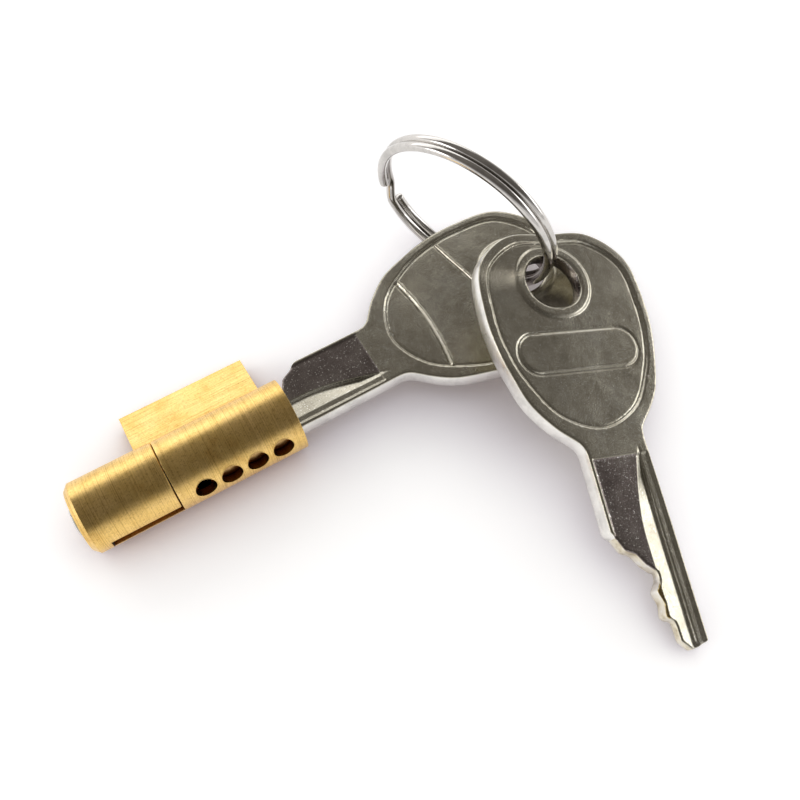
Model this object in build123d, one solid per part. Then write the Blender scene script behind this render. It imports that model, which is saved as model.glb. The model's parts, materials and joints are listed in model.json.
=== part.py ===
from build123d import *
import math
import os

# Barrel lock with a guide bar, two keys and a split ring, in millimetres.
# Lock frame: X along the barrel towards the key, Y along the guide bar, Z square to both.
# The seam between the fixed barrel and the turning tail is at X = 0.
# Key frame: X from blade tip to bow, Y towards the cut edge, Z square to the face, Z = 0 mid-thickness.

# ---- barrel and guide bar ----
BARREL_R = 4.0
BARREL_L = 14.33
BAR_T = 1.87
BAR_TIP_R = 9.94
BAR_X0 = -2.06
BAR_X1 = 12.61
BAR_ROOT_R = 4.1          # the overhang clears the tail by this radius
HOLE_D = 2.35             # loading holes, opposite the bar
PIN_COUNT = 4
PIN_X0 = 2.904
PIN_PITCH = 2.948
COVER_X0 = 1.9
COVER_X1 = 12.61
COVER_W = 1.3
COVER_T = 0.4

# ---- plug ----
PLUG_R = 3.0
RUN_GAP = 0.03
HEAD_R = 3.4
HEAD_X = 13.33
KEYWAY_T = 2.12
KEYWAY_X0 = 4.3
KEYWAY_Y0 = -2.62
KEYWAY_Y1 = 2.58
GROOVE_R = 2.4
GROOVE_X0 = 2.14
GROOVE_X1 = 3.67
SHAFT_R = 1.9
SHAFT_FLATS = 3.0
SHAFT_X = -8.7

# ---- tail ----
TAIL_X = -9.9
TAIL_CHAMFER = 0.6
SEAM_GAP = 0.1
TONGUE_R = 3.03           # inner radius of the barrel's stop tongue
TONGUE_L = 7.78
TONGUE_A0 = 210.0         # tongue and notch edges, degrees from the bar's direction
TONGUE_A1 = 250.0
NOTCH_R = 2.95
NOTCH_L = 7.9
NOTCH_A0 = 192.0
NOTCH_A1 = 341.0
SCREW_HEAD_R = 1.55
SCREW_HEAD_X = -10.3
SCREW_R = 0.8
SCREW_IN_X = -5.2
SLOT_W = 0.4
WASHER_R = 2.0
WASHER_T = 0.3

# ---- pins and springs ----
BORE_R = 0.66
PIN_R = 0.62
RETAINER_Y0 = 2.45
DRIVER_Y0 = 3.05
DRIVER_L = 2.2
CHAMBER_TOP = BAR_TIP_R - COVER_T
SPRING_R = 0.42           # to the wire's centre
SPRING_WIRE_R = 0.18
SPRING_COILS = 5
KEY_PIN_TIPS = (0.63, 1.56, 1.70)   # above the axis, clear of every cut that passes beneath
KEY_PIN_TOP = 2.95
PIN_CONE = 0.4

# ---- key ----
KEY_T = 2.0
REFERENCE_X = 24.93       # barrel X of the key's X = 0
BOW_OFFSET = 2.164        # bow's centre line, from the barrel's axis
BACK_Y = -4.6             # plain edge beside the bow
BLADE_BACK_Y = -4.72
TOP_Y = 2.95              # wide part's cut edge
STEP_X = -7.6             # where the wide part ends
BITTING = (
    (-8.48, 2.3), (-9.65, 1.7), (-10.2, 0.55), (-11.39, -0.26), (-12.3, -1.36), (-13.25, -1.28),
    (-14.08, -0.6), (-15.4, -1.06), (-16.7, -0.75), (-17.4, -1.66), (-19.3, -1.72), (-20.35, -2.9),
)
TIP_BACK = (-19.8, -4.72)
HOLE_AT = (19.9, 0.8)
HOLE_LONG = 6.7
HOLE_SHORT = 6.0
RELIEF = 0.15             # depth of the bow's sunk field
EYELET = 1.2
PILL_L = 15.0
PILL_W = 4.55
PILL_X = 11.85
CROSS_X = 15.4
CROSS_A = 10.8
CROSS_W = 0.6
BLADE_RELIEF = 0.1
KEY_GROOVE_D = 0.35
KEY_GROOVE_Y = (-3.25, -1.15)
WARD_D = 0.22
WARD_Y = (-3.05, -1.45)

# ---- split ring ----
WIRE_R = 0.51
RING_R = 10.62
COIL_PITCH = 1.03
JOG_AT = 108.5            # middle of the crossing, degrees round the ring
JOG_SPAN = 16.0
END_GAP = 1.5

# ---- how it all lies on the table ----
AXIS_Z = 4.0
BAR_TILT = -18.58         # the bar points sideways and a little down
KEY_TURN = 13.34          # the key's plane from the bar's
RING_AT = (40.88, 8.52, 11.165)
RING_AZ = -153.3
RING_EL = -5.2
SPARE_AT = (40.53, -21.70, 6.43)    # middle of its upper face at key X = 0
SPARE_X = (0.28053, 0.94947, 0.14073)
SPARE_Z = (0.28878, -0.22331, 0.93099)


def tube_x(r, x0, x1):
    """Round bar along X."""
    return Pos((x0 + x1) / 2, 0, 0) * Rot(0, 90, 0) * Cylinder(r, x1 - x0)


def rod_y(r, x, y0, y1):
    """Round bar along Y at the given X."""
    return Pos(x, (y0 + y1) / 2, 0) * Rot(90, 0, 0) * Cylinder(r, y1 - y0)


def block(x0, x1, y0, y1, z0, z1):
    return Pos((x0 + x1) / 2, (y0 + y1) / 2, (z0 + z1) / 2) * Box(x1 - x0, y1 - y0, z1 - z0)


def sector(r0, r1, a0, a1, x0, x1):
    """Part of a ring about X, between two angles from Y towards Z."""
    wedge = [(0, 0)]
    for a in (a0, (a0 + a1) / 2, a1):
        wedge.append(polar(4 * r1, math.radians(a)))
    face = (Circle(r1) - Circle(r0)) & make_face(Polyline(*wedge, close=True))
    return prism(face, x0, x1)


def prism(face, x0, x1):
    """Section drawn in Y and Z, run along X."""
    return Pos(x0, 0, 0) * extrude(Plane.YZ * face, x1 - x0)


def polar(r, a):
    return (r * math.cos(a), r * math.sin(a))


def pin_x(k):
    return PIN_X0 + k * PIN_PITCH


# ---------------------------------------------------------------- the lock

def housing():
    face = Circle(BARREL_R) + Pos(BAR_TIP_R / 2, 0) * Rectangle(BAR_TIP_R, BAR_T)
    bar = face - Circle(BARREL_R)
    body = prism(face - Circle(PLUG_R + RUN_GAP), 0, BAR_X1)
    body += prism(Circle(BARREL_R) - Circle(PLUG_R + RUN_GAP), BAR_X1, BARREL_L)
    body += prism(bar - Circle(BAR_ROOT_R), BAR_X0, 0)
    body += sector(TONGUE_R, BARREL_R, TONGUE_A0, TONGUE_A1, -TONGUE_L, 0)
    body -= tube_x(HEAD_R + RUN_GAP, HEAD_X - RUN_GAP, BARREL_L + 1)
    for k in range(PIN_COUNT):
        body -= rod_y(HOLE_D / 2, pin_x(k), -BARREL_R - 1, -1)
        body -= rod_y(BORE_R, pin_x(k), 1, CHAMBER_TOP)
    body -= block(COVER_X0, COVER_X1 + 1, CHAMBER_TOP, BAR_TIP_R + 1, -COVER_W / 2, COVER_W / 2)
    return body


def spring_cover():
    """Strip let into the bar's outer edge over the spring chambers."""
    return block(COVER_X0, COVER_X1, CHAMBER_TOP, BAR_TIP_R, -COVER_W / 2, COVER_W / 2)


def plug():
    body = tube_x(PLUG_R, 0, HEAD_X + 0.2) + tube_x(HEAD_R, HEAD_X, BARREL_L)
    face = body.edges().filter_by(GeomType.CIRCLE).group_by(Axis.X)[-1]
    body = chamfer(face, 0.12)
    shaft = tube_x(SHAFT_R, SHAFT_X, 0)
    shaft &= block(SHAFT_X, 0, -SHAFT_FLATS / 2, SHAFT_FLATS / 2, -SHAFT_R, SHAFT_R)
    body += shaft
    keyway = block(KEYWAY_X0, BARREL_L + 1, KEYWAY_Y0, KEYWAY_Y1, -KEYWAY_T / 2, KEYWAY_T / 2)
    for side in (-1, 1):
        z0 = side * (KEYWAY_T / 2 - WARD_D)
        z1 = side * (KEYWAY_T / 2 + 0.5)
        keyway -= block(KEYWAY_X0 - 1, BARREL_L + 2, WARD_Y[0] + BOW_OFFSET, WARD_Y[1] + BOW_OFFSET,
                        min(z0, z1), max(z0, z1))
    body -= keyway
    for k in range(1, PIN_COUNT):
        body -= rod_y(BORE_R, pin_x(k), 0, PLUG_R + 1)
    body -= tube_x(PLUG_R + 1, GROOVE_X0, GROOVE_X1) - tube_x(GROOVE_R, GROOVE_X0, GROOVE_X1)
    body -= tube_x(SCREW_R, SHAFT_X - 1, SCREW_IN_X)
    return body


def tail():
    body = tube_x(BARREL_R, TAIL_X, -SEAM_GAP)
    end = body.edges().filter_by(GeomType.CIRCLE).group_by(Axis.X)
    body = chamfer(end[0], TAIL_CHAMFER)
    body = chamfer(body.edges().filter_by(GeomType.CIRCLE).group_by(Axis.X)[-1], 0.1)
    body -= sector(NOTCH_R, BARREL_R + 1, NOTCH_A0 - KEY_TURN, NOTCH_A1 - KEY_TURN, -NOTCH_L, 1)
    bore = tube_x(SHAFT_R, SHAFT_X - 0.1, 1)
    bore &= block(SHAFT_X - 0.1, 1, -SHAFT_FLATS / 2, SHAFT_FLATS / 2, -SHAFT_R, SHAFT_R)
    body -= bore
    body -= tube_x(SCREW_R + 0.1, TAIL_X - 1, SHAFT_X)
    body -= tube_x(WASHER_R + 0.05, TAIL_X - 1, TAIL_X + WASHER_T)
    return body


def tail_washer():
    return tube_x(WASHER_R, TAIL_X, TAIL_X + WASHER_T) - tube_x(SCREW_R + 0.1, TAIL_X - 1, 0)


def tail_screw():
    body = tube_x(SCREW_HEAD_R, SCREW_HEAD_X, TAIL_X)
    rim = body.edges().filter_by(GeomType.CIRCLE).group_by(Axis.X)[0]
    body = chamfer(rim, 0.12)
    body += tube_x(SCREW_R, TAIL_X - 0.01, SCREW_IN_X - 0.1)
    body -= block(SCREW_HEAD_X - 1, SCREW_HEAD_X + 0.22, -SLOT_W / 2, SLOT_W / 2, -3, 3)
    return body


def key_pin(k):
    tip = KEY_PIN_TIPS[k - 1]
    body = rod_y(PIN_R, pin_x(k), tip, KEY_PIN_TOP - 0.15)
    ends = body.edges().filter_by(GeomType.CIRCLE).group_by(Axis.Y)
    body = chamfer(ends[0], PIN_CONE)
    top = body.edges().filter_by(GeomType.CIRCLE).group_by(Axis.Y)[-1]
    return chamfer(top, 0.1)


def driver_pin(k):
    body = rod_y(PIN_R, pin_x(k), DRIVER_Y0, DRIVER_Y0 + DRIVER_L)
    return chamfer(body.edges().filter_by(GeomType.CIRCLE), 0.1)


def retaining_pin():
    body = rod_y(PIN_R, pin_x(0), RETAINER_Y0, DRIVER_Y0 + DRIVER_L)
    return chamfer(body.edges().filter_by(GeomType.CIRCLE), 0.1)


def spring(k):
    """Open coil between a pin and the cover, with a flat ring at each end."""
    low = DRIVER_Y0 + DRIVER_L + SPRING_WIRE_R + 0.02
    high = CHAMBER_TOP - SPRING_WIRE_R - 0.02
    path = Helix((high - low) / SPRING_COILS, high - low, SPRING_R)
    profile = Plane(origin=path @ 0, z_dir=path % 0) * Circle(SPRING_WIRE_R)
    coil = sweep(profile, path=path, is_frenet=True)
    return Pos(pin_x(k), low, 0) * Rot(-90, 0, 0) * coil


# ---------------------------------------------------------------- keys and ring

def bow_face():
    upper = [(25.44, 5.26), (22.17, 9.37), (16.88, 10.19), (12.75, 9.92), (9.41, 9.04),
             (6.41, 7.95), (3.87, 5.98), (2.61, 4.6)]
    lower = [(x, -y) for x, y in reversed(upper)]
    rim = Spline(*lower, (25.57, 0), *upper)
    return make_face([rim, Line(rim @ 1, rim @ 0)])


def field_face():
    """Sunk field of the bow, with its round end towards the blade."""
    upper = [(24.42, 4.6), (21.5, 8.42), (16.8, 9.17), (12.9, 8.9), (9.0, 7.6), (4.9, 4.7)]
    lower = [(x, -y) for x, y in reversed(upper)]
    return make_face(Spline((24.57, 0), *upper, (3.1, 0), *lower, periodic=True))


def blade_face():
    points = [(4.5, 3.6), (2.61, 4.0), (1.6, TOP_Y), (STEP_X, TOP_Y), *BITTING, TIP_BACK,
              (STEP_X, BLADE_BACK_Y), (2.2, BACK_Y), (4.5, -4.4)]
    return make_face(Polyline(*points, close=True))


def slot_face(length, width):
    return SlotOverall(length, width, rotation=90)


def key_blank():
    body = extrude(bow_face(), KEY_T / 2, both=True)
    body += extrude(blade_face(), KEY_T / 2, both=True)
    hole = Pos(*HOLE_AT) * slot_face(HOLE_LONG, HOLE_SHORT)
    body -= extrude(hole, KEY_T, both=True)
    return body


def key(pill_side):
    """Key with its pill on the upper face (1) or the lower one (-1), and the cross bar on the other."""
    body = key_blank()
    field = field_face() - Pos(*HOLE_AT) * slot_face(HOLE_LONG + 2 * EYELET, HOLE_SHORT + 2 * EYELET)
    pill = Pos(PILL_X, 0) * slot_face(PILL_L, PILL_W)
    cross = Pos(CROSS_X, 0) * Rotation(0, 0, CROSS_A) * Rectangle(CROSS_W, 30)
    level = KEY_T / 2 - RELIEF
    body -= Pos(0, 0, pill_side * level) * extrude(field - pill, pill_side)
    body -= Pos(0, 0, -pill_side * level) * extrude(field - cross, -pill_side)
    for side in (-1, 1):
        z0 = side * (KEY_T / 2 - BLADE_RELIEF)
        z1 = side * KEY_T
        body -= block(-22, 0, -4.2, 2.6, min(z0, z1), max(z0, z1))
        z0 = side * (KEY_T / 2 - KEY_GROOVE_D)
        body -= block(-22, 0, *KEY_GROOVE_Y, min(z0, z1), max(z0, z1))
    return body


def split_ring():
    """Two turns of wire side by side; the wire crosses between them in one short stretch."""
    half = COIL_PITCH / 2
    j0 = JOG_AT - JOG_SPAN / 2
    j1 = JOG_AT + JOG_SPAN / 2
    first = turn(j1 - 360 + END_GAP, j0, -half)
    second = turn(j1, j0 + 360 - END_GAP, half)
    bend = [turn_point(j0, -half)]
    for i in range(1, 6):
        t = i / 6
        bend.append(turn_point(j0 + JOG_SPAN * t, COIL_PITCH * (3 * t * t - 2 * t ** 3) - half))
    bend.append(turn_point(j1, half))
    tangents = (turn_tangent(j0), turn_tangent(j1))
    path = Wire([*first.edges(), Spline(*bend, tangents=tangents), *second.edges()])
    start = turn_point(j1 - 360 + END_GAP, -half)
    profile = Plane(origin=start, z_dir=turn_tangent(j1 - 360 + END_GAP)) * Circle(WIRE_R)
    return sweep(profile, path=path)


def turn_point(a, z):
    return (RING_R * math.cos(math.radians(a)), RING_R * math.sin(math.radians(a)), z)


def turn_tangent(a):
    return (-math.sin(math.radians(a)), math.cos(math.radians(a)), 0)


def turn(a0, a1, z):
    mid = (a0 + a1) / 2
    return Wire([
        ThreePointArc(turn_point(a0, z), turn_point((a0 + mid) / 2, z), turn_point(mid, z)),
        ThreePointArc(turn_point(mid, z), turn_point((mid + a1) / 2, z), turn_point(a1, z)),
    ])


# ---------------------------------------------------------------- placing

def lock_place():
    return Pos(0, 0, AXIS_Z) * Rot(BAR_TILT, 0, 0)


def plug_place():
    return lock_place() * Rot(KEY_TURN, 0, 0)


def inserted_place():
    return plug_place() * Pos(REFERENCE_X, BOW_OFFSET, 0)


def spare_place():
    plane = Plane(origin=SPARE_AT, x_dir=SPARE_X, z_dir=SPARE_Z)
    return Location(plane) * Pos(0, 0, -KEY_T / 2)


def ring_axis():
    az = math.radians(RING_AZ)
    el = math.radians(RING_EL)
    return (math.cos(el) * math.cos(az), math.cos(el) * math.sin(az), math.sin(el))


def ring_place():
    return Location(Plane(origin=RING_AT, x_dir=(0, 0, 1), z_dir=ring_axis()))


def build():
    lock = lock_place()
    core = plug_place()
    nodes = {
        "housing": lock * housing(),
        "spring_cover": lock * spring_cover(),
        "retaining_pin": lock * retaining_pin(),
        "retaining_spring": lock * spring(0),
        "plug": core * plug(),
        "tail_cam": core * tail(),
        "tail_washer": core * tail_washer(),
        "tail_screw": core * tail_screw(),
        "key_inserted": inserted_place() * key(-1),
        "key_spare": spare_place() * key(1),
        "split_ring": ring_place() * split_ring(),
    }
    for k in range(1, PIN_COUNT):
        nodes[f"key_pin_{k}"] = core * key_pin(k)
        nodes[f"driver_pin_{k}"] = lock * driver_pin(k)
        nodes[f"driver_spring_{k}"] = lock * spring(k)
    return nodes


def main():
    nodes = build()
    boxes = [shape.bounding_box() for shape in nodes.values()]
    x = (min(b.min.X for b in boxes) + max(b.max.X for b in boxes)) / 2
    y = (min(b.min.Y for b in boxes) + max(b.max.Y for b in boxes)) / 2
    z = min(b.min.Z for b in boxes)
    os.makedirs("parts", exist_ok=True)
    for name, shape in nodes.items():
        export_step(Pos(-x, -y, -z) * shape, f"parts/{name}.step")
    print(f"footprint centre {x:.4f} {y:.4f}, floor {z:.4f}")


if __name__ == "__main__":
    main()
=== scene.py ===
import bpy
import json
import math
import numpy as np
from mathutils import Matrix, Vector
from mathutils.geometry import delaunay_2d_cdt


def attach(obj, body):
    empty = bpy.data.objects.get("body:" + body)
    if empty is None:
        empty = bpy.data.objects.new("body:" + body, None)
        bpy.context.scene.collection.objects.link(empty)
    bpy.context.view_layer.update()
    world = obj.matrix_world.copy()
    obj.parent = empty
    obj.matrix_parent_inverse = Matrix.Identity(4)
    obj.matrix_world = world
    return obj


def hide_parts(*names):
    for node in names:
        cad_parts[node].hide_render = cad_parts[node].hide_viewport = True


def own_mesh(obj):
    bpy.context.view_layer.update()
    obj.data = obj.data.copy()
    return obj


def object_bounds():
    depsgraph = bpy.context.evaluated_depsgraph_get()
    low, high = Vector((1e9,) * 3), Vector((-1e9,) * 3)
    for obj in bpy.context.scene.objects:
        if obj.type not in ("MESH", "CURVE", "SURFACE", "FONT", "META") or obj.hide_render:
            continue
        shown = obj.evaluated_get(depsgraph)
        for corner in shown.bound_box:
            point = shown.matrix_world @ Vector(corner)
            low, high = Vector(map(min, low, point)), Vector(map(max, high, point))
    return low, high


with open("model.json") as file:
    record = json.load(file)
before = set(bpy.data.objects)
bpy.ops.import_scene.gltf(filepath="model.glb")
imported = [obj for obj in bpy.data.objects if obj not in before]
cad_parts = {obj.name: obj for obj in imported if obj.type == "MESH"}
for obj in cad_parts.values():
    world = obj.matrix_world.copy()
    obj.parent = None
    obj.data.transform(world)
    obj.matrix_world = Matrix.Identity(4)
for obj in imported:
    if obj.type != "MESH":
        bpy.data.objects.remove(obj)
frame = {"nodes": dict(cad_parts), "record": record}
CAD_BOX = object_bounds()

MM = 0.001
WHITE = (1, 1, 1)
JOINTS = {joint["name"]: joint for joint in frame["record"]["behaviour"]["joints"]}
AXIS = Vector(JOINTS["plug_turn"]["pos_m"])
AXIS_HEIGHT = 4.0  # of the lock's axis above ORIGIN, in mm
ORIGIN = AXIS - Vector((0, 0, AXIS_HEIGHT)) * MM
RING_CENTRE = Vector(JOINTS["ring_spin"]["pos_m"])
RING_NORMAL = Vector(JOINTS["ring_spin"]["axis"]).normalized()
BAR_TILT = math.radians(-18.58)  # the bar beside the barrel slopes down from level
BAR_OUT = Vector((0, math.cos(BAR_TILT), math.sin(BAR_TILT)))

# ---------------------------------------------------------------- where the two keys lie, in mm

KEY_ANGLE = BAR_TILT + math.radians(13.34)  # turn of the inserted key about the lock's axis
REFERENCE_X = 24.93  # from AXIS to the inserted key's X = 0
BOW_OFFSET = 2.164  # from the lock's axis to the bow's middle line
SPARE_AT = (40.53, -21.70, 6.43)  # from ORIGIN to the spare key's X = Y = 0, on its upper face
SPARE_X = (0.28053, 0.94947, 0.14073)
SPARE_Z = (0.28878, -0.22331, 0.93099)

# ---------------------------------------------------------------- key shape, in the key's own millimetres

KEY_HALF = 1.0  # half its thickness
KEY_ROUND = 0.2  # radius of its worn edges
ROUND_SHARE = 0.98  # under 1, so a rounded edge ends just short of upright
BOW_SAMPLES = 400
SOFT_ROUNDS = 40  # rounds of softening along the outline
SOFT_BLADE = 0.05  # the blade's share of each round
SOFT_FROM = (-1.0, 2.0)  # X over which that share grows to the bow's
BOW = [(25.57, 0), (25.44, 5.26), (22.17, 9.37), (16.88, 10.19), (12.75, 9.92), (9.41, 9.04),
       (6.41, 7.95), (3.87, 5.98), (2.61, 4.6)]
BLADE = [(1.5, 3.0), (0.6, 2.95), (-7.6, 2.95), (-8.48, 2.3), (-9.65, 1.7), (-10.2, 0.55), (-11.39, -0.26),
         (-12.3, -1.36), (-13.25, -1.28), (-14.08, -0.6), (-15.4, -1.06), (-16.7, -0.75), (-17.4, -1.66),
         (-19.3, -1.72), (-20.35, -2.9), (-19.8, -4.72), (-7.6, -4.72), (1.3, -4.6)]
CUT_START = -8.2  # the worn cuts lie tipward of this X
CUT_ABOVE = -4.3  # and above this Y

HOLE_AT = (19.9, 0.8)
HOLE_LONG = 6.7
HOLE_SHORT = 6.0
HOLE_ROUND = 0.3
HOLE_REACH = 4.0  # walls this near its middle are the hole's own
HOLE_LIP = (0.95, 1.3)  # distances from the hole over which its lip ends

FIELD = [(24.42, 4.6), (21.5, 8.42), (16.8, 9.17), (12.9, 8.9), (9.0, 7.6), (4.9, 4.7)]
FIELD_ENDS = (24.57, 3.1)  # X where the field's edge crosses the middle line
FIELD_SAMPLES = 260
FIELD_DEPTH = 0.24
FIELD_SLOPE = (-0.22, 0.14)  # distances inside its edge over which it sinks

PILL_AT = (11.85, 0)
PILL_LONG = 15.0
PILL_SHORT = 4.55
PILL_SAMPLES = 240
PILL_HEIGHT = 0.13
PILL_SLOPE = (0.0, 0.32)  # distances inside its edge over which it rises

ARC_AT = 7.95
ARC_BEND = 0.016
ARC_MIDDLE = 0.5
SLANT_AT = 15.4
SLANT_LEAN = 0.19
LINES_FADE = (0.1, 0.3)  # distances inside the field's edge over which the lines start

# Thin lines: how high or deep, how far beside the line they follow, how far from there still whole, and
# how far from there gone.
FIELD_TRENCH = (0.06, 0.16, 0.03, 0.2)
PILL_TRENCH = (0.09, -0.05, 0.04, 0.24)
ARC_LINE = (0.2, 0.0, 0.02, 0.19)
ARC_TRENCH = (0.12, -0.36, 0.02, 0.16)
SLANT_LINE = (0.18, 0.0, 0.01, 0.16)
SLANT_TRENCH = (0.06, -0.26, 0.02, 0.12)

SHOULDER = (-0.35, 0.05)  # X over which the blade rises to the bow
BLADE_RELIEF = 0.2
LOWER_LIP = (-4.35, -4.15)  # Y over which the lip drops to the blade
UPPER_LIP = (2.45, 2.65)

GROOVE_LOW = -3.5
GROOVE_HIGH = -1.15
GROOVE_LEAST = 0.2  # its width beside the bow
GROOVE_GROWS = (0.9, -9.0)  # X over which it widens
GROOVE_CURVE = 0.6  # under 1, so it widens soon
GROOVE_DEPTH = 0.46
GROOVE_WALL = 0.13  # the steep wall's share of its width
GROOVE_START = 2.2  # how much sooner it is deep than wide

PANEL_START = -0.1
PANEL_TOP = 2.6
PANEL_GAP = 0.04  # between the groove and the panel
BARE_START = -12.2  # the panel is rubbed bare tipward of this X

# The places of the key's materials.
PLAIN, CUT, LIT_EDGE, PANEL, BARE = range(5)

# ---------------------------------------------------------------- where the key's mesh has its points, in mm

MESH_STEP = 0.16
FIELD_STEP = 0.17
THIN_CELL = 0.035  # rows that cross share one point in each square of this size
SNAP = 1e-6  # points closer than this become one
CHUNK = 4000  # points measured at a time
GRID_X = (-20.6, 25.7)
GRID_Y = (-10.3, 10.4)
BOW_Y = (-9.2, 9.2)
BLADE_X = (-19.6, 0.0)
BLADE_Y = (-4.6, 2.9)

# Rows of points, by distance from their line, but for SHOULDER_ROWS (X), LIP_ROWS (Y) and GROOVE_ROWS
# (shares of the groove's width).
FIELD_ROWS = (-0.24, -0.12, -0.02, 0.08, 0.16, 0.26, 0.38)
PILL_ROWS = (-0.28, -0.16, -0.06, 0.04, 0.14, 0.26)
BOW_LINE_ROWS = (-0.5, -0.42, -0.34, -0.27, -0.19, -0.1, -0.03, 0.03, 0.11, 0.2)
SHOULDER_ROWS = (-0.35, -0.26, -0.17, -0.08, 0.0, 0.06)
LIP_ROWS = (-4.36, -4.27, -4.18, 2.44, 2.52, 2.6, 2.67)
GROOVE_ROWS = (-0.03, 0.0, 0.03, 0.06, 0.1, 0.14, 0.2, 0.5, 0.8, 0.86, 0.9, 0.94, 0.97, 1.0, 1.03)
EDGE_ROWS = (0.07, 0.16)
HOLE_ROW_SPREAD = 1.4  # rows around the hole lie wider than those inside the outline

# Least distance to the outline and to the hole, for each kind of point.
BESIDE_CLEAR = (0.03, 0.03)
LINE_CLEAR = (0.2, 0.3)
GRID_CLEAR = (0.24, 0.3)

# ---------------------------------------------------------------- lines and distances


def ramp(v, a, b):
    """Smooth step from 0 at a to 1 at b."""
    t = np.clip((v - a) / (b - a), 0, 1)
    return t * t * (3 - 2 * t)


def thin_line(distance, size, beside, whole, gone):
    """What is left of a thin line's size: all of it close to the place beside, none beyond gone."""
    return size * (1 - ramp(np.abs(distance - beside), whole, gone))


def smooth_line(points, count, closed=False):
    """Catmull-Rom line through the points, as count points."""
    p = np.array(points, float)
    if closed:
        p = np.vstack([p[-1], p, p[0], p[1]])
    else:
        p = np.vstack([2 * p[0] - p[1], p, 2 * p[-1] - p[-2]])
    spans = len(p) - 3
    t = np.linspace(0, spans, count, endpoint=not closed)
    i = np.minimum(t.astype(int), spans - 1)
    u = (t - i)[:, None]
    a, b, c, d = p[i], p[i + 1], p[i + 2], p[i + 3]
    curve = 2 * b + (c - a) * u + (2 * a - 5 * b + 4 * c - d) * u ** 2
    return 0.5 * (curve + (3 * b - a - 3 * c + d) * u ** 3)


def resample(points, step):
    """Open line at even steps."""
    p = np.array(points, float)
    d = np.r_[0, np.cumsum(np.linalg.norm(np.diff(p, axis=0), axis=1))]
    t = np.linspace(0, d[-1], max(2, int(d[-1] / step) + 1))
    return np.column_stack([np.interp(t, d, p[:, 0]), np.interp(t, d, p[:, 1])])


def offset_loop(loop, d):
    """Closed loop moved inward by d."""
    normal = np.roll(loop, -1, 0) - np.roll(loop, 1, 0)
    normal = np.column_stack([-normal[:, 1], normal[:, 0]])
    return loop + d * normal / np.maximum(np.linalg.norm(normal, axis=1), 1e-9)[:, None]


def edge_distance(q, loop):
    """Distance from each point to a closed loop."""
    d = np.roll(loop, -1, 0) - loop
    best = np.full(len(q), 1e9)
    dd = np.maximum((d * d).sum(1), 1e-12)
    for k in range(0, len(q), CHUNK):
        v = q[k:k + CHUNK, None] - loop
        t = np.clip((v * d).sum(2) / dd, 0, 1)
        best[k:k + CHUNK] = np.sqrt(((v - t[..., None] * d) ** 2).sum(2)).min(1)
    return best


def inside(q, loop):
    """Whether each point lies inside a closed loop."""
    a = loop
    b = np.roll(loop, -1, 0)
    out = np.zeros(len(q), bool)
    for k in range(0, len(q), CHUNK):
        x = q[k:k + CHUNK, 0][:, None]
        y = q[k:k + CHUNK, 1][:, None]
        cross = (a[:, 1] > y) != (b[:, 1] > y)
        xi = (b[:, 0] - a[:, 0]) * (y - a[:, 1]) / (b[:, 1] - a[:, 1] + 1e-15) + a[:, 0]
        out[k:k + CHUNK] = (cross & (x < xi)).sum(1) % 2 == 1
    return out


def signed(q, loop):
    """Distance to a loop, above 0 inside it."""
    d = edge_distance(q, loop)
    return np.where(inside(q, loop), d, -d)


def slot_outline(centre, long, short, count=72):
    """Closed loop around a round-ended slot that is long in Y."""
    r = short / 2
    reach = (long - short) / 2
    out = []
    for k in range(count):
        a = 2 * math.pi * k / count
        x = centre[0] + r * math.cos(a)
        y = centre[1] + r * math.sin(a) + math.copysign(reach, math.sin(a))
        out.append((x, y))
    return np.array(out)


def slot_distance(q, centre, long, short):
    """Distance outside a round-ended slot's edge, below 0 inside it."""
    dy = q[:, 1] - centre[1]
    reach = (long - short) / 2
    dy = dy - np.clip(dy, -reach, reach)
    return np.hypot(q[:, 0] - centre[0], dy) - short / 2


def hole_distance(q):
    """Distance outside the edge of the key's hole."""
    return slot_distance(q, HOLE_AT, HOLE_LONG, HOLE_SHORT)


# ---------------------------------------------------------------- lines of the key


def key_outline():
    """Outer edge of the key: a round bow, then a blade whose corners stay nearly sharp."""
    lower = [(x, -y) for x, y in reversed(BOW[1:])]
    bow = resample(smooth_line(lower + BOW, BOW_SAMPLES), MESH_STEP)
    blade = resample([BOW[-1]] + BLADE + [lower[0]], MESH_STEP)
    loop = np.vstack([bow, blade[1:-1]])
    weight = np.maximum(ramp(loop[:, 0], *SOFT_FROM), SOFT_BLADE)[:, None]
    for _ in range(SOFT_ROUNDS):
        soft = (np.roll(loop, 1, 0) + 2 * loop + np.roll(loop, -1, 0)) / 4
        loop = loop + (soft - loop) * weight
    return loop


def field_outline():
    """Edge of the bow's sunk field."""
    outer, inner = FIELD_ENDS
    half = [(x, -y) for x, y in reversed(FIELD)]
    return smooth_line([(outer, 0)] + FIELD + [(inner, 0)] + half, FIELD_SAMPLES, True)


def arc_x(y):
    """Curved line across the bow."""
    return ARC_AT - ARC_BEND * (y - ARC_MIDDLE) ** 2


def slant_x(y):
    """Slanted line across the bow."""
    return SLANT_AT - SLANT_LEAN * y


def groove_share(x):
    """How far the groove has widened at x: 0 at the bow, 1 well down the blade."""
    return ramp(x, *GROOVE_GROWS) ** GROOVE_CURVE


def groove_edges(x):
    """Lower and upper edge of the groove along the blade."""
    spread = GROOVE_HIGH - GROOVE_LOW - GROOVE_LEAST
    return GROOVE_LOW + 0 * x, GROOVE_LOW + GROOVE_LEAST + spread * groove_share(x)


# ---------------------------------------------------------------- relief of the key's faces


def round_edge(d, r):
    """Drop of an edge rounded to radius r, at distance d from it."""
    t = np.clip(1 - d / r, 0, 1)
    return r * (1 - np.sqrt(1 - ROUND_SHARE * t * t))


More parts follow.
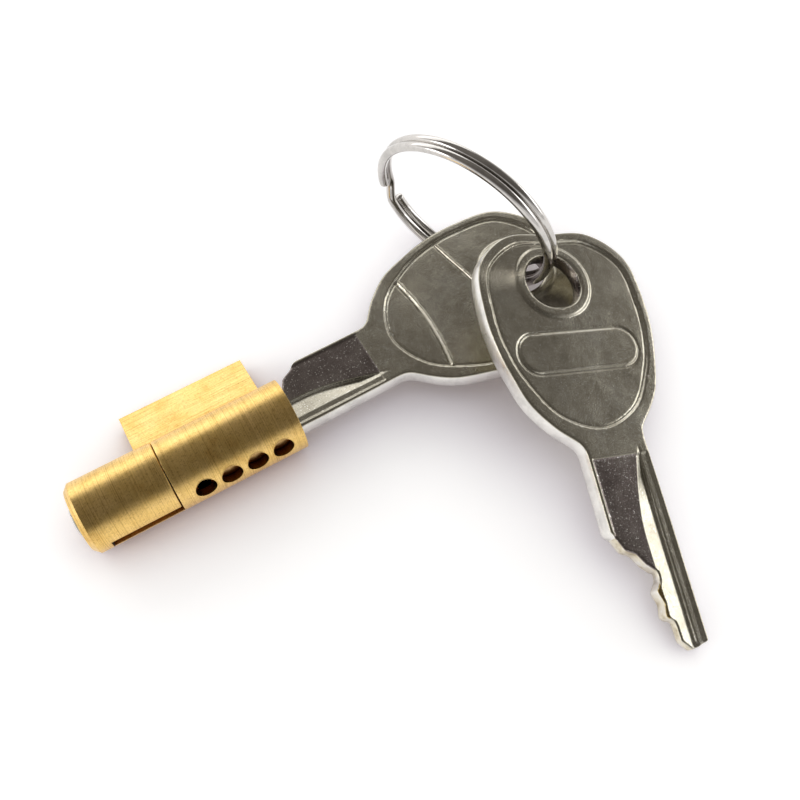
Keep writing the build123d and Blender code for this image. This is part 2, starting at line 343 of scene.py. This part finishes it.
def field_relief(sunk, hole_d):
    """Sunk field with a faint trench along its edge. A lip around the hole stays at full height."""
    drop = FIELD_DEPTH * ramp(sunk, *FIELD_SLOPE) + thin_line(sunk, *FIELD_TRENCH)
    return drop * ramp(hole_d, *HOLE_LIP)


def pill_relief(q):
    """Raised round-ended pill with a trench around it."""
    pill = -slot_distance(q, PILL_AT, PILL_LONG, PILL_SHORT)
    return thin_line(pill, *PILL_TRENCH) - PILL_HEIGHT * ramp(pill, *PILL_SLOPE)


def bow_lines_relief(q, sunk):
    """Two raised lines across the sunk field, each with a trench beside it."""
    arc = q[:, 0] - arc_x(q[:, 1])
    slant = q[:, 0] - slant_x(q[:, 1])
    drop = thin_line(arc, *ARC_TRENCH) - thin_line(arc, *ARC_LINE)
    drop += thin_line(slant, *SLANT_TRENCH) - thin_line(slant, *SLANT_LINE)
    return drop * ramp(sunk, *LINES_FADE)


def blade_relief(q):
    """Blade milled lower than the bow, but for a lip along each long edge."""
    band = ramp(q[:, 1], *LOWER_LIP) * (1 - ramp(q[:, 1], *UPPER_LIP))
    return BLADE_RELIEF * (1 - ramp(q[:, 0], *SHOULDER)) * band


def groove_relief(q, front):
    """Groove with one steep wall, from which its floor slopes back up to the blade."""
    low, high = groove_edges(q[:, 0])
    across = np.clip((q[:, 1] - low) / (high - low), 0, 1)
    slope = 1 - across if front else across
    wall = ramp(1 - slope, 0.0, GROOVE_WALL)
    start = np.minimum(1, groove_share(q[:, 0]) * GROOVE_START)
    return GROOVE_DEPTH * slope * wall * start * (across > 0) * (across < 1)


def face_drop(q, outline, front):
    """How far the key's face lies below its highest level. The pill is on the front face."""
    hole_d = hole_distance(q)
    sunk = signed(q, field_outline())
    drop = field_relief(sunk, hole_d)
    drop += pill_relief(q) if front else bow_lines_relief(q, sunk)
    drop += blade_relief(q) + groove_relief(q, front)
    drop += round_edge(edge_distance(q, outline), KEY_ROUND)
    return drop + round_edge(np.maximum(hole_d, 0), HOLE_ROUND)


# ---------------------------------------------------------------- key mesh


def mesh_object(name, verts, faces, slots=None):
    """Smooth-shaded mesh, with each face's material slot where slots are given."""
    mesh = bpy.data.meshes.new(name)
    mesh.from_pydata(verts, [], faces)
    mesh.update()
    for poly in mesh.polygons:
        poly.use_smooth = True
        if slots:
            poly.material_index = int(slots[poly.index])
    obj = bpy.data.objects.new(name, mesh)
    bpy.context.collection.objects.link(obj)
    return obj


def feature_points():
    """Close rows of points along every pressed line, so the lines come out crisp."""
    rows = []
    field = field_outline()
    field = resample(np.vstack([field, field[:1]]), FIELD_STEP)[:-1]
    for d in FIELD_ROWS:
        rows.append(offset_loop(field, d))
    pill = slot_outline(PILL_AT, PILL_LONG, PILL_SHORT, PILL_SAMPLES)
    for d in PILL_ROWS:
        rows.append(offset_loop(pill, d))
    y = np.arange(*BOW_Y, MESH_STEP)
    for d in BOW_LINE_ROWS:
        rows.append(np.column_stack([arc_x(y) + d, y]))
        rows.append(np.column_stack([slant_x(y) + d, y]))
    y = np.arange(*BLADE_Y, MESH_STEP)
    for d in SHOULDER_ROWS:
        rows.append(np.column_stack([0 * y + d, y]))
    x = np.arange(*BLADE_X, MESH_STEP)
    for level in LIP_ROWS:
        rows.append(np.column_stack([x, 0 * x + level]))
    low, high = groove_edges(x)
    for t in GROOVE_ROWS:
        rows.append(np.column_stack([x, low + (high - low) * t]))
    return np.vstack(rows)


def thin_out(points, cell):
    """One point at most in each little square."""
    _, keep = np.unique(np.round(points / cell).astype(int), axis=0, return_index=True)
    return points[np.sort(keep)]


def grid_points():
    """Even grid over the whole key, with every second column half a step up."""
    grid = []
    for i, x in enumerate(np.arange(*GRID_X, MESH_STEP)):
        for y in np.arange(*GRID_Y, MESH_STEP) + (MESH_STEP / 2 if i % 2 else 0):
            grid.append((x, y))
    return np.array(grid)


def clear_of_edges(q, outline, margin, hole_margin):
    """The points that lie well inside the outline and well outside the hole."""
    return q[(signed(q, outline) > margin) & (hole_distance(q) > hole_margin)]


def key_points(outline, hole):
    """The edges themselves, rows close beside them, the pressed lines' rows and the grid."""
    beside = []
    for d in EDGE_ROWS:
        wider = 2 * d * HOLE_ROW_SPREAD
        beside.append(offset_loop(outline, d))
        beside.append(slot_outline(HOLE_AT, HOLE_LONG + wider, HOLE_SHORT + wider))
    beside = clear_of_edges(np.vstack(beside), outline, *BESIDE_CLEAR)
    lines = clear_of_edges(thin_out(feature_points(), THIN_CELL), outline, *LINE_CLEAR)
    grid = clear_of_edges(grid_points(), outline, *GRID_CLEAR)
    return np.vstack([outline, hole, beside, lines, grid])


def middles(q, faces):
    """Middle of each face."""
    return np.array([q[list(f)].mean(0) for f in faces])


def key_triangles(outline, hole):
    """Points of the key's face, and the triangles between its outline and its hole."""
    n = len(outline)
    m = len(hole)
    edges = [(k, (k + 1) % n) for k in range(n)] + [(n + k, n + (k + 1) % m) for k in range(m)]
    points = [Vector(p) for p in key_points(outline, hole)]
    verts, _, faces, *_ = delaunay_2d_cdt(points, edges, [], 0, SNAP)
    q = np.array([tuple(v) for v in verts])
    mid = middles(q, faces)
    good = inside(mid, outline) & (hole_distance(mid) > 0)
    return q, [f for f, keep in zip(faces, good) if keep]


def open_edges(faces):
    """Edges that only one face has: those of the outline and of the hole."""
    edges = [edge for f in faces for edge in zip(f, f[1:] + f[:1])]
    known = set(edges)
    return [(a, b) for a, b in edges if (b, a) not in known]


def face_slots(mid):
    """Milled panel above the groove, rubbed bare toward the tip, and plain nickel elsewhere."""
    high = groove_edges(mid[:, 0])[1]
    panel = (mid[:, 0] < PANEL_START) & (mid[:, 1] > high + PANEL_GAP) & (mid[:, 1] < PANEL_TOP)
    return list(np.where(panel, np.where(mid[:, 0] < BARE_START, BARE, PANEL), PLAIN))


def side_slot(point):
    """Milled wall in the hole, worn metal along the cuts, and elsewhere a painted highlight: side walls in a
    brighter copy of the plating.
    """
    x, y = point
    if math.hypot(x - HOLE_AT[0], y - HOLE_AT[1]) < HOLE_REACH:
        return PANEL
    return CUT if x < CUT_START and y > CUT_ABOVE else LIT_EDGE


def key_mesh(name, flip):
    """Key with soft pressed edges. flip puts the face with the pill underneath."""
    outline = key_outline()
    q, faces = key_triangles(outline, slot_outline(HOLE_AT, HOLE_LONG, HOLE_SHORT))
    rim = open_edges(faces)
    top = np.column_stack([q, KEY_HALF - face_drop(q, outline, not flip)])
    bottom = np.column_stack([q, face_drop(q, outline, flip) - KEY_HALF])
    count = len(q)
    polys = [tuple(f) for f in faces]
    polys += [tuple(v + count for v in reversed(f)) for f in faces]
    polys += [(b, a, a + count, b + count) for a, b in rim]
    slots = face_slots(middles(q, faces)) * 2
    slots += [side_slot((q[a] + q[b]) / 2) for a, b in rim]
    return mesh_object(name, (np.vstack([top, bottom]) * MM).tolist(), polys, slots)


# ---------------------------------------------------------------- wires and placing

WIRE_UP = (0, 0, 1)
DOME = (75, 50, 25)  # degrees up the domed ends
DOME_REACH = 0.55  # the domes' height, as a share of the wire's radius


def tube(name, path, radius, sides=20):
    """Round wire along a line of points, none of them heading along WIRE_UP, with domed ends."""
    p = np.array(path, float)
    t = np.gradient(p, axis=0)
    t /= np.linalg.norm(t, axis=1)[:, None]
    u = np.cross(t, WIRE_UP)
    u /= np.linalg.norm(u, axis=1)[:, None]
    v = np.cross(t, u)
    dome = [(DOME_REACH * math.sin(math.radians(a)), math.cos(math.radians(a))) for a in DOME]
    rings = [(p[0] - t[0] * radius * s, u[0], v[0], radius * c) for s, c in dome]
    rings += [(p[k], u[k], v[k], radius) for k in range(len(p))]
    rings += [(p[-1] + t[-1] * radius * s, u[-1], v[-1], radius * c) for s, c in reversed(dome)]
    verts = []
    for centre, across, over, r in rings:
        for k in range(sides):
            a = 2 * math.pi * k / sides
            verts.append(tuple(centre + r * (math.cos(a) * across + math.sin(a) * over)))
    faces = []
    for i in range(len(rings) - 1):
        for k in range(sides):
            j = (k + 1) % sides
            faces.append((i * sides + k, i * sides + j, (i + 1) * sides + j, (i + 1) * sides + k))
    faces.append(tuple(reversed(range(sides))))
    faces.append(tuple(range((len(rings) - 1) * sides, len(rings) * sides)))
    return mesh_object(name, verts, faces)


def place(obj, origin, x_dir, z_dir):
    """Turn and move the mesh itself, so that its X and Z lie along the two directions."""
    x = Vector(x_dir).normalized()
    z = Vector(z_dir).normalized()
    m = Matrix((x, z.cross(x), z)).transposed().to_4x4()
    m.translation = origin
    obj.data.transform(m)


# ---------------------------------------------------------------- materials


class Nodes:
    """Small helper for building one material's node tree."""

    def __init__(self, name, color, metallic, roughness):
        self.mat = bpy.data.materials.new(name)
        self.mat.use_nodes = True
        self.tree = self.mat.node_tree
        self.bsdf = self.tree.nodes["Principled BSDF"]
        self.bsdf.inputs["Base Color"].default_value = (*color, 1)
        self.bsdf.inputs["Metallic"].default_value = metallic
        self.bsdf.inputs["Roughness"].default_value = roughness
        self.coord = self.add("ShaderNodeTexCoord").outputs["Object"]

    def add(self, kind, **values):
        node = self.tree.nodes.new(kind)
        for key, value in values.items():
            setattr(node, key, value)
        return node

    def link(self, a, b):
        self.tree.links.new(a, b)

    def noise(self, scale, stretch=(1, 1, 1), detail=4, rough=0.6):
        mapping = self.add("ShaderNodeMapping")
        mapping.inputs["Scale"].default_value = stretch
        self.link(self.coord, mapping.inputs["Vector"])
        node = self.add("ShaderNodeTexNoise")
        node.inputs["Scale"].default_value = scale
        node.inputs["Detail"].default_value = detail
        node.inputs["Roughness"].default_value = rough
        self.link(mapping.outputs[0], node.inputs["Vector"])
        return node.outputs["Fac"]

    def hollow(self, reach, samples=6):
        """Light that reaches each point: 0 deep in a hollow, 1 in the open. reach is in mm."""
        node = self.add("ShaderNodeAmbientOcclusion", samples=samples)
        node.inputs["Distance"].default_value = reach * MM
        return node.outputs["AO"]

    def ramp(self, fac, stops):
        """Colours by position, from pairs of position and colour."""
        node = self.add("ShaderNodeValToRGB")
        elements = node.color_ramp.elements
        while len(elements) < len(stops):
            elements.new(0.5)
        for element, (pos, color) in zip(elements, stops):
            element.position = pos
            element.color = (*color, 1)
        self.link(fac, node.inputs["Fac"])
        return node.outputs["Color"]

    def mix(self, kind, fac, a, b):
        """b over a, by a plain amount or by a socket."""
        node = self.add("ShaderNodeMix", data_type="RGBA", blend_type=kind)
        if isinstance(fac, float):
            node.inputs["Factor"].default_value = fac
        else:
            self.link(fac, node.inputs["Factor"])
        self.link(a, node.inputs["A"])
        self.link(b, node.inputs["B"])
        return node.outputs["Result"]

    def range(self, fac, low, high, a=0.0, b=1.0):
        """Value that goes from low to high while fac goes from a to b."""
        node = self.add("ShaderNodeMapRange")
        for key, value in zip(("From Min", "From Max", "To Min", "To Max"), (a, b, low, high)):
            node.inputs[key].default_value = value
        self.link(fac, node.inputs["Value"])
        return node.outputs["Result"]

    def color(self, socket):
        self.link(socket, self.bsdf.inputs["Base Color"])

    def roughness(self, socket):
        self.link(socket, self.bsdf.inputs["Roughness"])

    def bumps(self, layers, bevel=0.0):
        """Bump layers of (height, strength, distance in mm), over softened edges."""
        normal = None
        if bevel:
            node = self.add("ShaderNodeBevel", samples=4)
            node.inputs["Radius"].default_value = bevel * MM
            normal = node.outputs["Normal"]
        for height, strength, distance in layers:
            node = self.add("ShaderNodeBump")
            node.inputs["Strength"].default_value = strength
            node.inputs["Distance"].default_value = distance * MM
            self.link(height, node.inputs["Height"])
            if normal:
                self.link(normal, node.inputs["Normal"])
            normal = node.outputs["Normal"]
        self.link(normal, self.bsdf.inputs["Normal"])


BRASS = (0.84, 0.575, 0.195)
STAINED_BRASS = (0.72, 0.45, 0.13)
BAR_START = (3.85, 4.05)  # mm from the lock's axis over which turned rings give way to milled lines
HOLE_SHADE_SIDE = (-0.5, 0.5)  # mm from the axis over which the painted shade in hollows fades out


def brass(name, turned, speckle, base=BRASS):
    """Stained, speckled brass, with turned rings on the barrel, milled lines on the bar and painted shade
    darkening the holes.
    """
    n = Nodes(name, base, 1.0, 0.25)
    stain = n.noise(330, detail=8, rough=0.7)
    pale = (min(1, base[0] * 1.1), min(1, base[1] * 1.12), base[2] * 1.3)
    color = n.ramp(stain, [(0.3, STAINED_BRASS), (0.44, base), (0.66, pale)])
    grain = n.noise(5200, detail=3)
    fleck = n.ramp(grain, [(0.34, (0.45, 0.36, 0.24)), (0.47, WHITE), (0.6, WHITE), (0.7, (1.3, 1.3, 1.35))])
    color = n.mix("MULTIPLY", speckle, color, fleck)
    rings = n.noise(1, (14000, 60, 60), detail=3, rough=0.75)
    milled = n.noise(1, (160, 9000, 9000), detail=3, rough=0.7)
    place_xyz = n.add("ShaderNodeSeparateXYZ")
    n.link(n.coord, place_xyz.inputs["Vector"])
    y = place_xyz.outputs["Y"]
    on_bar = n.range(y, 0, 1, AXIS.y + BAR_START[0] * MM, AXIS.y + BAR_START[1] * MM)
    lines = n.mix("MIX", on_bar, rings, milled)
    tone = n.ramp(lines, [(0.34, (0.45, 0.36, 0.22)), (0.5, WHITE), (0.74, (1.2, 1.2, 1.25))])
    color = n.mix("MULTIPLY", turned, color, tone)
    # Painted shade: the colour is darkened in the barrel's holes and other hollows, on the holes' side of the
    # axis only.
    painted_hollow_shade = n.ramp(n.hollow(2.2), [(0.12, (0.09, 0.04, 0.02)), (0.42, (0.42, 0.22, 0.13)), (0.78, WHITE)])
    hole_shade_side = n.range(y, 1, 0, AXIS.y + HOLE_SHADE_SIDE[0] * MM, AXIS.y + HOLE_SHADE_SIDE[1] * MM)
    n.color(n.mix("MULTIPLY", hole_shade_side, color, painted_hollow_shade))
    n.roughness(n.range(n.noise(1200, detail=6), 0.2, 0.46))
    n.bumps([(lines, 0.6 * turned + 0.04, 0.014), (grain, 0.3, 0.006)], bevel=0.09)
    return n.mat


def nickel(name, tones, spark):
    """Worn plating in three cloudy tones, dark pits, bright sparks, fine scratches along X and painted shade
    in hollows such as the key's hole.
    """
    n = Nodes(name, tones[1], 1.0, 0.36)
    cloud = n.noise(210, detail=8, rough=0.65)
    color = n.ramp(cloud, list(zip((0.32, 0.5, 0.7), tones)))
    pits = n.noise(9000, detail=2)
    color = n.mix("MULTIPLY", 0.8, color, n.ramp(pits, [(0.31, (0.25, 0.22, 0.17)), (0.40, WHITE)]))
    bright = n.noise(6000, detail=1)
    sparks = n.ramp(bright, [(0.64, (0, 0, 0)), (0.72, (0.9, 0.88, 0.84))])
    color = n.mix("SCREEN", spark, color, sparks)
    scratch = n.noise(1, (120, 5200, 400), detail=2)
    # Painted shade: the colour darkens in hollows, such as inside the key's hole.
    painted_hollow_shade = n.ramp(n.hollow(1.6), [(0.15, (0.16, 0.13, 0.10)), (0.6, WHITE)])
    n.color(n.mix("MULTIPLY", 1.0, color, painted_hollow_shade))
    n.roughness(n.range(n.noise(1400, detail=8, rough=0.7), 0.12, 0.33))
    sway = n.noise(170, detail=2, rough=0.4)
    dents = n.noise(3800, detail=5)
    n.bumps([(sway, 0.9, 0.18), (pits, 0.6, 0.016), (dents, 0.35, 0.014), (scratch, 0.12, 0.006)])
    return n.mat


def worn_cut():
    """Bare metal of the key's cuts, with fine file marks."""
    n = Nodes("worn_cut", (0.74, 0.69, 0.58), 1.0, 0.34)
    tone = n.noise(700, detail=5)
    n.color(n.ramp(tone, [(0.35, (0.50, 0.43, 0.30)), (0.5, (0.74, 0.68, 0.55)), (0.7, (0.84, 0.82, 0.77))]))
    n.roughness(n.range(tone, 0.25, 0.5))
    marks = n.noise(1, (9000, 9000, 500), detail=2)
    n.bumps([(marks, 0.35, 0.012)])
    return n.mat


def steel(name, base, rough):
    """Smooth steel in two close tones."""
    n = Nodes(name, base, 1.0, rough)
    tone = n.noise(500, detail=5)
    darker = tuple(c * 0.8 for c in base)
    n.color(n.ramp(tone, [(0.35, darker), (0.55, base)]))
    n.roughness(n.range(n.noise(1500, detail=4), rough * 0.6, rough * 1.6))
    n.bumps([(n.noise(3000, detail=3), 0.08, 0.008)], bevel=0.05)
    return n.mat


def paper():
    """White table that glows a little, with painted shadow: its glow dims around what lies on it."""
    n = Nodes("white_table", (0.9, 0.9, 0.9), 0.0, 0.9)
    n.color(n.ramp(n.noise(20), [(0.3, (0.9, 0.9, 0.905)), (0.7, (0.92, 0.92, 0.92))]))
    # Painted shadow: the table's glow is darkened where the objects lying on it hem it in.
    near = n.hollow(16, samples=8)
    glow_with_painted_shadow = n.ramp(near, [(0.25, (0.10, 0.07, 0.08)), (0.6, (0.50, 0.47, 0.52)), (0.95, WHITE)])
    n.link(glow_with_painted_shadow, n.bsdf.inputs["Emission Color"])
    n.bsdf.inputs["Specular IOR Level"].default_value = 0.0
    n.bsdf.inputs["Emission Strength"].default_value = 0.72
    return n.mat


MATS = {
    "brass_body": brass("turned_brass", 0.55, 0.42),
    "brass_plug": brass("plug_brass", 0.4, 0.4, (0.72, 0.52, 0.22)),
    "brass_pin": brass("pin_brass", 0.3, 0.3),
    "spring_steel": steel("spring_wire", (0.55, 0.55, 0.56), 0.3),
    "steel_screw": steel("screw_plate", (0.62, 0.60, 0.56), 0.35),
    "nickel_key": nickel("nickel_plate", ((0.35, 0.325, 0.26), (0.44, 0.415, 0.34), (0.50, 0.48, 0.41)), 0.4),
    "ring_steel": steel("ring_plate", (0.60, 0.58, 0.555), 0.12),
}
KEY_SKIN = {
    PLAIN: MATS["nickel_key"],
    CUT: worn_cut(),
    PANEL: nickel("milled_nickel", ((0.17, 0.14, 0.13), (0.25, 0.215, 0.20), (0.34, 0.31, 0.28)), 0.9),
    BARE: nickel("rubbed_brass", ((0.20, 0.14, 0.05), (0.33, 0.25, 0.10), (0.50, 0.42, 0.26)), 0.4),
    # Brighter copy of the key's plating for its side walls: a painted highlight for the table's light they
    # catch.
    LIT_EDGE: steel("nickel_edge_painted_highlight", (0.86, 0.84, 0.80), 0.3),
}
for part in frame["record"]["subparts"]:
    node = frame["nodes"][part["node"]]
    node.data.materials.clear()
    node.data.materials.append(MATS[part["material_slot"]])

# ---------------------------------------------------------------- keys

key_z = Vector((0, -math.sin(KEY_ANGLE), math.cos(KEY_ANGLE)))
key_y = Vector((0, math.cos(KEY_ANGLE), math.sin(KEY_ANGLE)))
inserted = key_mesh("inserted_key_body", True)
place(inserted, AXIS + Vector((REFERENCE_X, 0, 0)) * MM + key_y * BOW_OFFSET * MM, (1, 0, 0), key_z)
spare = key_mesh("spare_key_body", False)
spare_z = Vector(SPARE_Z).normalized()
place(spare, ORIGIN + Vector(SPARE_AT) * MM - spare_z * KEY_HALF * MM, SPARE_X, SPARE_Z)
for obj, body, node in ((inserted, "inserted_key", "key_inserted"), (spare, "spare_key", "key_spare")):
    for slot in sorted(KEY_SKIN):
        obj.data.materials.append(KEY_SKIN[slot])
    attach(obj, body)
    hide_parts(node)

# ---------------------------------------------------------------- split ring

WIRE_R = 0.51
RING_R = 10.62
COIL_PITCH = 1.03  # between the middles of the two turns
JOG_AT = 108.5  # degrees around the ring, as are the next two
JOG_SPAN = 16.0  # length of the crossing
END_GAP = 1.5  # from each end of the wire to the crossing
PATH_POINTS = 520


def ring_path():
    """Two flat turns of wire side by side, joined by one short crossing at the angle JOG_AT."""
    start = JOG_AT + JOG_SPAN / 2 - 360 + END_GAP
    stop = JOG_AT - JOG_SPAN / 2 + 360 - END_GAP
    out = []
    for a in np.linspace(start, stop, PATH_POINTS):
        z = COIL_PITCH * (ramp((a - JOG_AT) / JOG_SPAN + 0.5, 0, 1) - 0.5)
        r = math.radians(a)
        out.append((RING_R * MM * math.cos(r), RING_R * MM * math.sin(r), z * MM))
    return out


ring = tube("split_ring_wire", ring_path(), WIRE_R * MM)
ring.data.materials.append(MATS["ring_steel"])
up = Vector((0, 0, 1)) - RING_NORMAL * RING_NORMAL.z
place(ring, RING_CENTRE, up, RING_NORMAL)
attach(ring, "key_ring")
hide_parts("split_ring")

# ---------------------------------------------------------------- burnished rims of the barrel's holes

BARREL_R = 4.0
HOLE_COUNT = 4
HOLE_X0 = 2.904  # from AXIS to the first hole
HOLE_PITCH = 2.948
RIM_R = 1.205
RIM_SINK = 0.025  # how far under the barrel's side the rim's middle lies
RIM_WIRE = 0.055  # the rim's own radius
RIM_POINTS = 72


def hole_rim(k):
    """Thin rolled edge that follows the barrel's round side."""
    along = Vector((1, 0, 0))
    out = -BAR_OUT
    side = along.cross(out)
    path = []
    for i in range(RIM_POINTS + 1):
        a = 2 * math.pi * i / RIM_POINTS
        x = HOLE_X0 + k * HOLE_PITCH + RIM_R * math.cos(a)
        v = RIM_R * math.sin(a)
        rise = math.sqrt(BARREL_R ** 2 - v * v) - RIM_SINK
        path.append(tuple(AXIS + (along * x + side * v + out * rise) * MM))
    return tube(f"hole_rim_{k + 1}", path, RIM_WIRE * MM, 12)


for k in range(HOLE_COUNT):
    rim = hole_rim(k)
    rim.data.materials.append(MATS["brass_pin"])
    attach(rim, "lock_body")

# ---------------------------------------------------------------- driver springs, copied as coils that ride with the lock's body

for k in (1, 2, 3):
    source = frame["nodes"][f"driver_spring_{k}"]
    coil = bpy.data.objects.new(f"driver_spring_{k}_coil", source.data.copy())
    coil.data.transform(source.matrix_world)
    bpy.context.collection.objects.link(coil)
    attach(coil, "lock_body")
    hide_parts(f"driver_spring_{k}")
    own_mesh(coil)

# ---------------------------------------------------------------- table

bpy.ops.mesh.primitive_plane_add(size=4, location=(0, 0, CAD_BOX[0][2]))
table = bpy.context.object
table.name = "table"
table.data.materials.append(paper())

# ---------------------------------------------------------------- lights


def area(name, offset, size, power):
    """Rectangular light, in metres and watts, that faces the scene's origin."""
    data = bpy.data.lights.new(name, "AREA")
    data.shape = "RECTANGLE"
    data.size, data.size_y = size
    data.energy = power
    obj = bpy.data.objects.new(name, data)
    bpy.context.collection.objects.link(obj)
    obj.location = Vector(offset)
    obj.rotation_euler = (-Vector(offset)).to_track_quat("-Z", "Y").to_euler()


def studio_sky():
    """Sky that is bright near the horizon, darker overhead, and dimmer in front than behind."""
    world = bpy.data.worlds.new("studio")
    world.use_nodes = True
    sky = world.node_tree
    background = sky.nodes["Background"]
    direction = sky.nodes.new("ShaderNodeTexCoord")
    split = sky.nodes.new("ShaderNodeSeparateXYZ")
    fade = sky.nodes.new("ShaderNodeValToRGB")
    stops = ((0.12, (1.25, 1.23, 1.22, 1)), (0.55, (0.20, 0.185, 0.17, 1)))
    for element, (position, color) in zip(fade.color_ramp.elements, stops):
        element.position = position
        element.color = color
    front = sky.nodes.new("ShaderNodeMapRange")
    for key, value in zip(("From Min", "From Max", "To Min", "To Max"), (-1.0, 0.35, 0.5, 1.0)):
        front.inputs[key].default_value = value
    sky.links.new(direction.outputs["Generated"], split.inputs["Vector"])
    sky.links.new(split.outputs["Z"], fade.inputs["Fac"])
    sky.links.new(fade.outputs["Color"], background.inputs["Color"])
    sky.links.new(split.outputs["Y"], front.inputs["Value"])
    sky.links.new(front.outputs["Result"], background.inputs["Strength"])
    return world


area("window_back", (0.08, 0.80, 0.40), (1.3, 0.5), 2.5)
area("window_left", (-0.72, 0.22, 0.26), (0.3, 0.25), 0.9)
area("card_right", (0.74, -0.2, 0.17), (0.6, 0.22), 1.1)
area("fill_front", (0.0, -0.85, 0.2), (0.9, 0.25), 0.25)
bpy.context.scene.world = studio_sky()
bpy.context.scene.view_settings.view_transform = "Standard"

# ---------------------------------------------------------------- camera

CAMERA_AT = (2.75, -43.79, 101.65)  # in mm from ORIGIN
CAMERA_AIM = (25.245, -4.43, 4.0)

camera_data = bpy.data.cameras.new("camera")
camera_data.lens = 45.0
camera_data.sensor_width = 36.0
camera_data.clip_start = 0.005
camera = bpy.data.objects.new("camera", camera_data)
bpy.context.collection.objects.link(camera)
camera.location = ORIGIN + Vector(CAMERA_AT) * MM
aim = Vector(CAMERA_AIM) - Vector(CAMERA_AT)
camera.rotation_euler = aim.to_track_quat("-Z", "Y").to_euler()
bpy.context.scene.camera = camera
